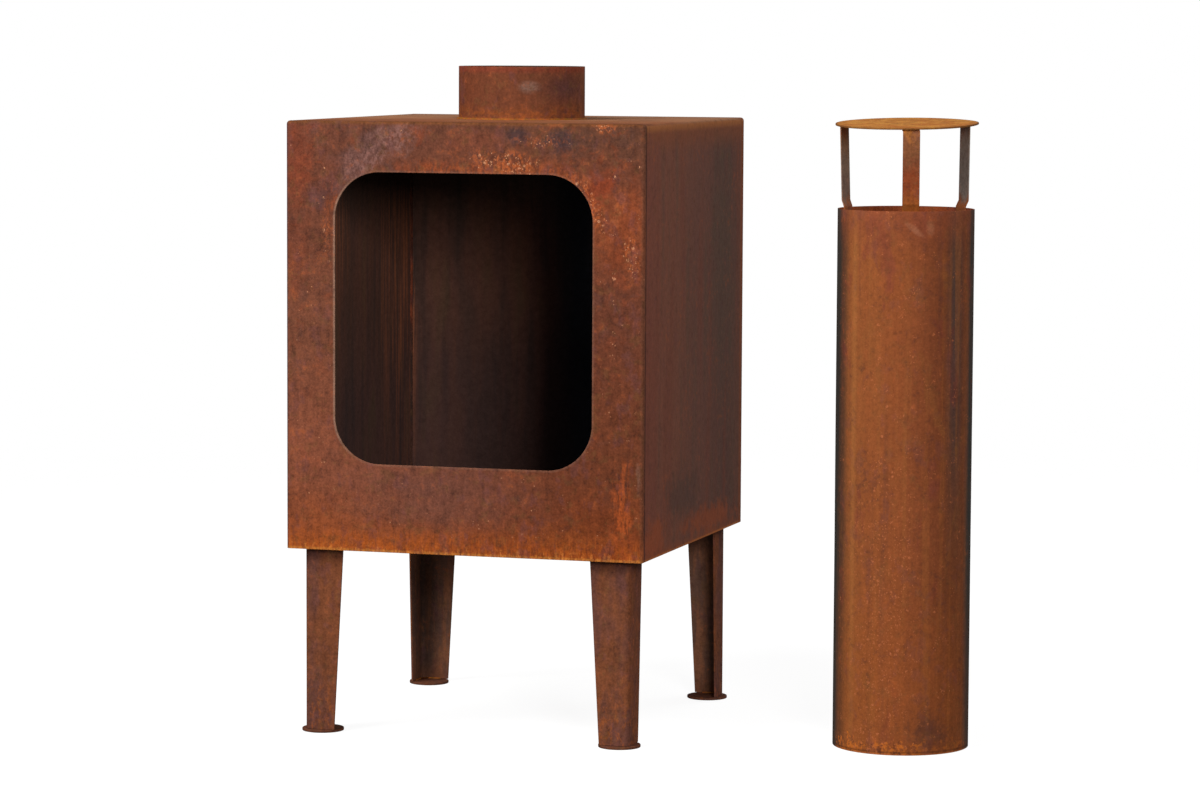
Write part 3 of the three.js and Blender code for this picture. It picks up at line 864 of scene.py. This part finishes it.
def inside_weld_paint():
    """Weld beads the fire has reached: dull red under soot and painted shade, dimmer at the bottom.
    """
    p = Paint("inside_weld", BOX_CENTRE, (92, 52, 42))
    wear = p.noise(14, 4, 0.65, tall=2.5)
    p.lay((136, 68, 44), (wear, 0.40, 0.60))
    # soot and painted shade: darker toward the top, as on the walls
    p.lay((34, 27, 24), (p.z, BOX_TOP - 0.18, BOX_TOP - 0.05), 0.8)
    p.lay((66, 50, 44), (p.plus(p.z, p.sway(wear, 0.1)), BOX_BOTTOM + 0.24, BOX_BOTTOM + 0.17),
          0.85)
    rusty(p, contrast=0.7)
    return p.finish(0.3, specular=0.06)


FRONT_RUST = front_paint()
SIDE_RUST = side_paint()
INSIDE_SOOT_AND_SHADE = inside_paint()
FLOOR_ASH = floor_paint()
COLLAR_RUST = collar_paint()
LEG_RUST = leg_paint()
LEG_SCALE = leg_inside_paint()
PIPE_RUST = pipe_paint()
PIPE_INSIDE = pipe_inside_paint()
CAP_RUST = cap_paint()
STRAP_RUST = strap_paint()
FASTENER_RUST = fastener_paint()
WELD_RUST = weld_paint("weld_rust", BOX_CENTRE, 5, (142, 92, 32), (166, 88, 40), 0.8)
INSIDE_WELD = inside_weld_paint()
PIPE_WELD = weld_paint("flue_weld", FLUE_AXIS, 7, (104, 62, 44), (158, 88, 42), 0.9)

# ------------------------------------------------------------------ firebox


def dress(piece, material, node=None, body="firebox", inner=None, is_inner=None, sharp=None):
    """Gives a piece its material and its body, and hides the CAD node it stands for, if any.

    Faces picked by is_inner(centre, normal) take the material inner. Faces that meet at more
    than sharp degrees keep a sharp edge between them."""
    if sharp:
        piece.data.set_sharp_from_angle(angle=math.radians(sharp))
    piece.data.materials.clear()
    piece.data.materials.append(material)
    if inner:
        piece.data.materials.append(inner)
        for face in piece.data.polygons:
            face.material_index = int(is_inner(face.center, face.normal))
    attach(piece, body)
    if node:
        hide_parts(node)


def faces_fire(centre, normal):
    """True for the skin that the fire sees: inside the sheet, looking inward."""
    x, y, z = centre.x - BOX_X, centre.y, centre.z
    return (abs(x) < INSIDE_X + HAIR and abs(y) < INSIDE_Y + HAIR and z < BOX_TOP - SHEET + HAIR
            and normal.dot(Vector((x, y, z - (BOX_BOTTOM + BOX_TOP) / 2))) < 0)


def dress_sheet(sheet, material, node):
    """Rounds the cut edges of one of the firebox's sheets, gives it rust outside, soot and painted
    shade inside.
    """
    soften(sheet)
    dress(sheet, material, node, inner=INSIDE_SOOT_AND_SHADE, is_inner=faces_fire)


def build_casing():
    """Left side, top and right side: one sheet folded over, with the hole for the collar."""
    half, r = BOX_HALF, FOLD_RADIUS
    inner, past = r - SHEET, 10 * MM
    outline = ([(-half, BOX_BOTTOM)] + arc(-half + r, BOX_TOP - r, r, 180, 90)
               + arc(half - r, BOX_TOP - r, r, 90, 0) + [(half, BOX_BOTTOM)]
               + [(half - SHEET, BOX_BOTTOM)] + arc(half - r, BOX_TOP - r, inner, 0, 90)
               + arc(-half + r, BOX_TOP - r, inner, 90, 180) + [(-half + SHEET, BOX_BOTTOM)])
    sheet = new_piece("casing_sheet", prism(
        outline, lambda u, v, w: Vector((BOX_X + u, CASING_LOW.y + w, v)),
        CASING_HIGH.y - CASING_LOW.y))
    hole = [(COLLAR_RADIUS + HAIR, -past), (COLLAR_RADIUS + HAIR, past), (0, past), (0, -past)]
    combine(sheet, lathe(hole, 128, Vector((BOX_X, 0, BOX_TOP))))
    dress_sheet(sheet, SIDE_RUST, "casing")


def pan(name, front_y, facing):
    """A shallow pan, its lips bent back at the sides and the top. facing is -1 at the front."""
    def folded(half, top, y):
        def picks(m):
            at_face = abs(m.y - y) < HAIR
            at_side = abs(abs(m.x - BOX_X) - half) < HAIR
            at_top = abs(m.z - top) < HAIR
            return (at_face and (at_side or at_top)) or (at_side and at_top)
        return picks

    past = 20 * MM
    lip = FRONT_HIGH.y - FRONT_LOW.y
    back_y = front_y - facing * lip
    outer = block((BOX_X - BOX_HALF, min(front_y, back_y), BOX_BOTTOM),
                  (BOX_X + BOX_HALF, max(front_y, back_y), BOX_TOP),
                  folded(BOX_HALF, BOX_TOP, front_y), PAN_FOLD_RADIUS)
    inner_y, open_y = front_y - facing * SHEET, back_y - facing * past
    hollow = block((BOX_X - INSIDE_X, min(inner_y, open_y), BOX_BOTTOM - past),
                   (BOX_X + INSIDE_X, max(inner_y, open_y), BOX_TOP - SHEET),
                   folded(INSIDE_X, BOX_TOP - SHEET, inner_y), PAN_FOLD_RADIUS - SHEET)
    sheet = new_piece(name, outer)
    combine(sheet, hollow)
    return sheet


def build_panels():
    """The front, with its round-cornered fire opening, and the plain back."""
    front, depth = pan("front_pan", FRONT_Y, -1), 20 * MM
    outline = rounded_rectangle(
        -BOX_HALF + OPENING_SIDE, BOX_HALF - OPENING_SIDE,
        BOX_BOTTOM + OPENING_SILL, BOX_TOP - OPENING_HEAD, OPENING_RADIUS)
    combine(front, prism(
        outline, lambda u, v, w: Vector((BOX_X + u, FRONT_Y - depth / 2 + w, v)), depth))
    dress_sheet(front, FRONT_RUST, "front_panel")
    dress_sheet(pan("back_pan", BACK_Y, 1), SIDE_RUST, "back_panel")


def nearer(axis, radius):
    """Picks the faces nearer than radius to an upright axis."""
    return lambda centre, normal: (centre - axis).to_2d().length < radius


def build_collar():
    """Collar with its edges rounded over, a little out of round as rolled tube is."""
    r, wall, b = COLLAR_RADIUS, SHEET, 0.5 * MM
    low, high = COLLAR_LOW.z, COLLAR_HIGH.z
    heights = [low + (high - low) * t for t in (0.2, 0.4, 0.6, 0.8)]
    profile = ([(r - wall, low), (r, low)] + [(r, z) for z in heights]
               + arc(r - b, high - b, b, 0, 90, 4) + arc(r - wall + b, high - b, b, 90, 180, 4)
               + [(r - wall, z) for z in reversed(heights)])
    wave = smooth_noise(5, lowest=2)
    collar = new_piece("collar_tube", lathe(
        profile, 192, BOX_CENTRE, lambda a, z: 0.15 * MM * wave(a)))
    dress(collar, COLLAR_RUST, "flue_collar", inner=INSIDE_SOOT_AND_SHADE,
          is_inner=nearer(BOX_CENTRE, r - wall / 2), sharp=40)


def build_collar_weld():
    """The bead that joins the collar to the top."""
    count = 900
    ring = arc(0, 0, COLLAR_RADIUS + 0.6 * MM, 0, 360 - 360 / count, count - 1)
    path = [BOX_CENTRE + Vector((x, y, BOX_TOP + 0.3 * MM)) for x, y in ring]
    dress(weld_bead("collar_weld", path, 2 * MM, closed=True), WELD_RUST)


def build_corner_weld(side, sign, seed):
    """An upright run of weld inside, where a side sheet meets the back pan."""
    x, y, short = BOX_X + sign * (INSIDE_X - 0.2 * MM), CASING_HIGH.y, 8 * MM
    wander = smooth_noise(seed, count=9, lowest=3)
    path = [q + Vector((0, wander(q.z * 20) * MM, 0))
            for q in line((x, y, BOX_BOTTOM + short), (x, y, BOX_TOP - short), 1 * MM)]
    bead = weld_bead(f"corner_weld_{side}", path, 2.4 * MM, pitch=4 * MM)
    dress(bead, INSIDE_WELD)


def build_seam(name, material, body, axis, radius, low, high):
    """The upright weld at the back that closes a rolled tube, dressed nearly flat."""
    angle = math.radians(SEAM_AZIMUTH)
    outward = Vector((math.cos(angle), math.sin(angle), 0))
    aside = Vector((-outward.y, outward.x, 0))
    foot = axis + outward * (radius - 1.0 * MM)
    wander = smooth_noise(51, count=9, lowest=3)
    path = [q + aside * wander(q.z * 12) * 0.4 * MM
            for q in line(foot + Vector((0, 0, low)), foot + Vector((0, 0, high)), 0.9 * MM)]
    dress(weld_bead(name, path, 1.6 * MM, pitch=2.2 * MM), material, body=body)


# ------------------------------------------------------------------ legs


def leg_section(width, z):
    """Plan of a leg at height z: two flanges of that width, meeting in a round fold."""
    r = LEG_FOLD_RADIUS
    outer = [(0, width)] + arc(r, r, r, 180, 270) + [(width, 0)]
    inner = [(width, SHEET)] + arc(r, r, r - SHEET, 270, 180) + [(SHEET, width)]
    return [Vector((u, v, z)) for u, v in outer + inner]


def leg_place(corner):
    """Turns a leg drawn with its fold at the origin to stand at a corner."""
    low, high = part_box(f"leg_{corner}")
    sx, sy, turns = CORNERS[corner]
    fold = Vector((low.x if sx < 0 else high.x, low.y if sy < 0 else high.y, 0))
    return Matrix.Translation(fold) @ Matrix.Rotation(turns * math.pi / 2, 4, "Z")


def build_leg(corner):
    """A folded angle of tapered sheet, with a tab at its top for two bolts."""
    low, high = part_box(f"leg_{corner}")
    heights = 5
    sections = []
    for i in range(heights + 1):
        share = i / heights
        width = LEG_BOTTOM_WIDTH + (LEG_TOP_WIDTH - LEG_BOTTOM_WIDTH) * share
        sections.append(leg_section(width, low.z + (high.z - low.z) * share))
    leg = new_piece(f"leg_angle_{corner}", loft(sections))
    half, r, past = SHEET / 2, LEG_FOLD_RADIUS, 10 * MM
    tab = [(half, r), (r, half), (LEG_TAB, half), (LEG_TAB, LEG_TAB / 2),
           (LEG_TAB / 2, LEG_TAB), (half, LEG_TAB)]
    combine(leg, prism(tab, lambda u, v, w: Vector((u, v, high.z - SHEET + w)), SHEET), "UNION")
    turn = leg_place(corner)
    for index in (1, 2):
        spot = turn.inverted() @ middle(f"leg_bolt_{corner}_{index}")
        hole = arc(spot.x, spot.y, BOLT_HOLE, 0, 345, 23)
        combine(leg, prism(hole, lambda u, v, w: Vector((u, v, high.z - past + w)), 2 * past))
    leg.data.transform(turn)
    soften(leg, 0.3 * MM)
    fold = turn.translation
    sx, sy, _ = CORNERS[corner]

    def hollow_side(centre, normal):
        inward = normal.x * -sx > 0.5 or normal.y * -sy > 0.5
        deep = min(abs(centre.x - fold.x), abs(centre.y - fold.y)) > SHEET - HAIR
        return inward and deep

    dress(leg, LEG_RUST, f"leg_{corner}", inner=LEG_SCALE, is_inner=hollow_side)


def build_foot(corner):
    """Foot disc, its rim rounded over."""
    node = f"foot_{corner}"
    low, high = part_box(node)
    r, b, top = (high.x - low.x) / 2, 0.6 * MM, high.z
    profile = ([(0, 0), (r - b, 0)] + arc(r - b, b, b, -90, 0, 3)
               + arc(r - b, top - b, b, 0, 90, 3) + [(0, top)])
    disc = new_piece(f"foot_disc_{corner}", lathe(profile, 96, upright_axis(node)))
    dress(disc, LEG_RUST, node, sharp=50)


def build_foot_weld(corner):
    """The bead inside the angle, where the leg stands on its disc."""
    turn = leg_place(corner)
    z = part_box(f"foot_{corner}")[1].z + 0.3 * MM
    near, far = SHEET + 0.3 * MM, LEG_BOTTOM_WIDTH - 9 * MM
    step, count = 0.6 * MM, 28
    steps = [i * step for i in range(count)]
    path = ([Vector((far - s, near, z)) for s in steps]
            + [Vector((near, far - steps[-1] + s, z)) for s in steps])
    bead = weld_bead(f"foot_weld_{corner}", [turn @ p for p in path], 1.5 * MM)
    dress(bead, WELD_RUST)


# ------------------------------------------------------------------ bolts and nuts


def hex_body(name, place, radius, low, high, both_ends):
    """A hexagonal body whose corners are turned off at its upper end, or at both ends."""
    body = new_piece(name, prism(
        arc(0, 0, radius, 0, 300, 5), lambda u, v, w: place + Vector((u, v, low + w)), high - low))
    face = radius * math.cos(math.radians(30)) * 0.98
    drop = (radius - face) * 0.6
    big = radius * 1.2
    if both_ends:
        lower = [(0, low), (face, low), (radius, low + drop), (radius * 1.001, (low + high) / 2)]
    else:
        lower = [(0, low - big), (big, low - big), (big, high - drop - (big - radius))]
    upper = [(radius, high - drop), (face, high), (0, high)]
    combine(body, lathe(lower + upper, 48, place), "INTERSECT")
    return body


def build_bolt(corner, index):
    node = f"leg_bolt_{corner}_{index}"
    low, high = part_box(node)
    place, lead = upright_axis(node), 0.8 * MM
    seat = high.z - BOLT_HEAD
    bolt = hex_body(f"bolt_{corner}_{index}", place, (high.x - low.x) / 2, seat, high.z, False)
    profile = [(0, low.z), (BOLT_RADIUS - lead, low.z)]
    z = low.z + lead
    while z < seat - 1.5 * MM:
        profile += [(BOLT_RADIUS, z), (BOLT_RADIUS - THREAD_DEPTH, z + THREAD_PITCH / 2)]
        z += THREAD_PITCH
    profile += [(BOLT_RADIUS, z), (BOLT_RADIUS, seat + 1 * MM), (0, seat + 1 * MM)]
    combine(bolt, lathe(profile, 32, place), "UNION")
    dress(bolt, FASTENER_RUST, node, sharp=25)


def build_nut(corner, index):
    node = f"leg_nut_{corner}_{index}"
    low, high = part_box(node)
    place, bore, lead, past = upright_axis(node), BOLT_RADIUS + 0.3 * MM, 0.5 * MM, 2 * MM
    nut = hex_body(f"nut_{corner}_{index}", place, (high.x - low.x) / 2, low.z, high.z, True)
    wide = bore + lead + past
    profile = [(0, low.z - past), (wide, low.z - past), (bore, low.z + lead),
               (bore, high.z - lead), (wide, high.z + past), (0, high.z + past)]
    combine(nut, lathe(profile, 32, place))
    dress(nut, FASTENER_RUST, node, sharp=25)


# ------------------------------------------------------------------ flue and cap


def build_pipe():
    """Flue pipe, a little out of round, with its cut ends rounded over."""
    r, wall, b, top = PIPE_RADIUS, PIPE_WALL, 0.4 * MM, PIPE_LENGTH
    steps = 40
    heights = [top * (i + 1) / (steps + 1) for i in range(steps)]
    profile = (arc(r - wall + b, b, b, 180, 270, 3) + arc(r - b, b, b, -90, 0, 3)
               + [(r, z) for z in heights]
               + arc(r - b, top - b, b, 0, 90, 3) + arc(r - wall + b, top - b, b, 90, 180, 3)
               + [(r - wall, z) for z in reversed(heights)])
    wave, sway = smooth_noise(21, count=6, lowest=2), smooth_noise(22, count=3)

    def wobble(a, z):
        return 0.12 * MM * (wave(a) + 0.5 * sway(a + 9 * z))

    pipe = new_piece("pipe_tube", lathe(profile, 240, FLUE_AXIS, wobble))
    dress(pipe, PIPE_RUST, "flue_pipe", "flue", PIPE_INSIDE,
          nearer(FLUE_AXIS, r - wall / 2), sharp=50)


def build_disc():
    """Rain cap's disc: sheet with a rounded rim, not quite flat, laid over to the cap's tilt."""
    r, b, t = CAP_RADIUS - 0.15 * MM, 0.6 * MM, CAP_SHEET / 2
    rings = [r * s for s in (0.15, 0.3, 0.45, 0.6, 0.75, 0.88)]
    profile = ([(0, -t)] + [(q, -t) for q in rings] + arc(r - b, b - t, b, -90, 0, 3)
               + arc(r - b, t - b, b, 0, 90, 3) + [(q, t) for q in reversed(rings)] + [(0, t)])
    wave, tilt = smooth_noise(31, count=4), Matrix.Rotation(CAP_TILT, 3, "X")
    bm = lathe(profile, 160, CAP_CENTRE)
    for v in bm.verts:
        flat = (v.co - FLUE_AXIS).to_2d()
        v.co.z += 0.25 * MM * wave(math.atan2(flat.y, flat.x)) * (flat.length / CAP_RADIUS) ** 2
        v.co = CAP_CENTRE + tilt @ (v.co - CAP_CENTRE)
    dress(new_piece("cap_plate", bm), CAP_RUST, "cap_disc", "cap", sharp=50)


def round_corners(points, radius):
    """A polyline in the plane with each inner corner replaced by a bend of that radius."""
    steps = 6
    points = [Vector(p) for p in points]
    out = [points[0]]
    for before, here, after in zip(points, points[1:], points[2:]):
        a, b = (before - here).normalized(), (after - here).normalized()
        turn = math.pi - a.angle(b)
        reach = min(radius * math.tan(turn / 2), 0.45 * (before - here).length,
                    0.45 * (after - here).length)
        start, end = here + a * reach, here + b * reach
        for i in range(steps + 1):
            s = i / steps
            out.append(start.lerp(here, s).lerp(here.lerp(end, s), s))
    return out + [points[-1]]


def strip_outline(path, thickness):
    """Outline of a strip of sheet that follows a path of 2-D points."""
    left, right = [], []
    for i, here in enumerate(path):
        along = (path[min(i + 1, len(path) - 1)] - path[max(i - 1, 0)]).normalized()
        normal = Vector((-along.y, along.x)) * thickness / 2
        left.append(here + normal)
        right.append(here - normal)
    return left + right[::-1]


def build_strap(node):
    """A strap: down inside the pipe, out over the rim, up to the disc and in under it."""
    azimuth, shoulder_radius, top_radius = STRAPS[node]
    angle = math.radians(azimuth)
    bore = PIPE_RADIUS - PIPE_WALL - STRAP_GAP
    inner = math.sqrt(bore ** 2 - (STRAP_WIDTH / 2) ** 2) - STRAP_SHEET / 2
    slope = math.sin(angle) * math.tan(CAP_TILT)
    cross = abs(math.cos(angle) * math.tan(CAP_TILT)) * STRAP_WIDTH / 2
    below = (CAP_SHEET + STRAP_SHEET) / 2 + 0.5 * MM + cross

    def under(radius):
        return CAP_HEIGHT + radius * slope - below

    path = round_corners([
        (inner, -STRAP_INSERT), (inner, 1 * MM), (shoulder_radius, STRAP_SHOULDER),
        (top_radius, under(top_radius)), (top_radius - STRAP_TAB, under(top_radius - STRAP_TAB)),
    ], 3 * MM)
    turn = Matrix.Rotation(angle, 3, "Z")
    rim = Vector((FLUE_AXIS.x, FLUE_AXIS.y, PIPE_LENGTH))
    strap = new_piece(node.replace("cap_", ""), prism(
        strip_outline(path, STRAP_SHEET),
        lambda u, v, w: rim + turn @ Vector((u, w - STRAP_WIDTH / 2, v)), STRAP_WIDTH))
    soften(strap, 0.3 * MM)
    dress(strap, STRAP_RUST, node, "cap")


build_casing()
build_panels()
build_collar()
build_collar_weld()
build_corner_weld("left", -1, 41)
build_corner_weld("right", 1, 42)
for corner in CORNERS:
    build_leg(corner)
    build_foot(corner)
    build_foot_weld(corner)
    for index in (1, 2):
        build_bolt(corner, index)
        build_nut(corner, index)
build_pipe()
build_seam("collar_seam", WELD_RUST, "firebox", BOX_CENTRE, COLLAR_RADIUS,
           BOX_TOP + 3 * MM, COLLAR_HIGH.z - 2 * MM)
build_seam("pipe_seam", PIPE_WELD, "flue", FLUE_AXIS, PIPE_RADIUS,
           2 * MM, PIPE_LENGTH - 2 * MM)
build_disc()
for node in STRAPS:
    build_strap(node)

floor_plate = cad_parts["floor_plate"]
floor_plate.data.materials.clear()
floor_plate.data.materials.append(FLOOR_ASH)

# ------------------------------------------------------------------ studio

FLOOR_REACH = 8.0                 # radius of the floor, and where it starts and ends fading
FLOOR_FADE = (1.2, 3.2)
FLOOR_GLOW = 0.90
SKY_LIGHT = 0.20                  # strength of the white world as a light
SOFT_LIGHTS = (                   # azimuth from the front, elevation, distance, side, power
    ("key", -40, 42, 3.2, 1.8, 81),
    ("fill", 29, 14, 3.4, 0.8, 48),
    ("back", 150, 40, 3.5, 2.0, 20),
)
LIGHT_AIM = Vector((0, 0, 0.4))
CAMERA_PLACE = (1.3162, -4.5227, 0.7881)
CAMERA_TILT = math.radians(90 - 5.072)
CAMERA_ROLL = -0.0049
CAMERA_TURN = 0.29843
CAMERA_LENS = 124.74              # millimetres, on a sensor 36 wide


def build_floor():
    """A pale disc that fades out toward its rim, so that it runs into the backdrop."""
    bm = bmesh.new()
    bmesh.ops.create_circle(bm, cap_ends=True, segments=96, radius=FLOOR_REACH)
    ground = new_piece("studio_floor", bm)
    p = Paint("studio_floor", (0, 0, 0))
    away = p.length(p.x, p.y, 0.0)
    paper = p.noise(3, 2, 0.55)
    paint = p.mix(paper, (140, 140, 140), (136, 136, 136))
    matt = p.joined(p.node("ShaderNodeBsdfDiffuse"), paint)
    glow = p.joined(p.node("ShaderNodeEmission"), (1, 1, 1, 1), FLOOR_GLOW)
    lit = p.joined(p.node("ShaderNodeAddShader"), matt, glow)
    clear = p.joined(p.node("ShaderNodeBsdfTransparent"))
    blend = p.joined(p.node("ShaderNodeMixShader"), p.fade(away, *FLOOR_FADE), lit, clear)
    p.joined(p.node("ShaderNodeOutputMaterial"), blend)
    ground.data.materials.append(p.material)
    ground.location.z = -0.2 * MM
    ground.visible_diffuse = False
    ground.visible_glossy = False


def build_world():
    """White all round, seen at full strength and lighting the object more softly."""
    world = bpy.data.worlds.new("studio")
    bpy.context.scene.world = world
    n = Nodes(world)
    white = [n.joined(n.node("ShaderNodeBackground"), (1, 1, 1, 1), strength)
             for strength in (SKY_LIGHT, 1.0)]
    seen = n.node("ShaderNodeLightPath").outputs["Is Camera Ray"]
    n.joined(n.node("ShaderNodeOutputWorld"), n.joined(n.node("ShaderNodeMixShader"), seen, *white))


def soft_light(name, azimuth, elevation, distance, side, power):
    """A square soft light. Azimuth 0 is straight in front, growing toward +X, in degrees."""
    data = bpy.data.lights.new(name, "AREA")
    data.shape = "SQUARE"
    data.size = side
    data.energy = power
    light = bpy.data.objects.new(name, data)
    a, e = math.radians(azimuth), math.radians(elevation)
    offset = Vector((math.sin(a) * math.cos(e), -math.cos(a) * math.cos(e), math.sin(e)))
    light.location = LIGHT_AIM + offset * distance
    light.rotation_euler = offset.to_track_quat("Z", "Y").to_euler()
    bpy.context.scene.collection.objects.link(light)


def build_camera():
    """A long lens, a little above the object and to the right of its front."""
    data = bpy.data.cameras.new("camera")
    data.sensor_width = 36
    data.lens = CAMERA_LENS
    camera = bpy.data.objects.new("camera", data)
    camera.location = CAMERA_PLACE
    camera.rotation_euler = (CAMERA_TILT, CAMERA_ROLL, CAMERA_TURN)
    bpy.context.scene.collection.objects.link(camera)
    bpy.context.scene.camera = camera


build_floor()
build_world()
for light in SOFT_LIGHTS:
    soft_light(*light)
build_camera()
bpy.context.scene.view_settings.view_transform = "Standard"
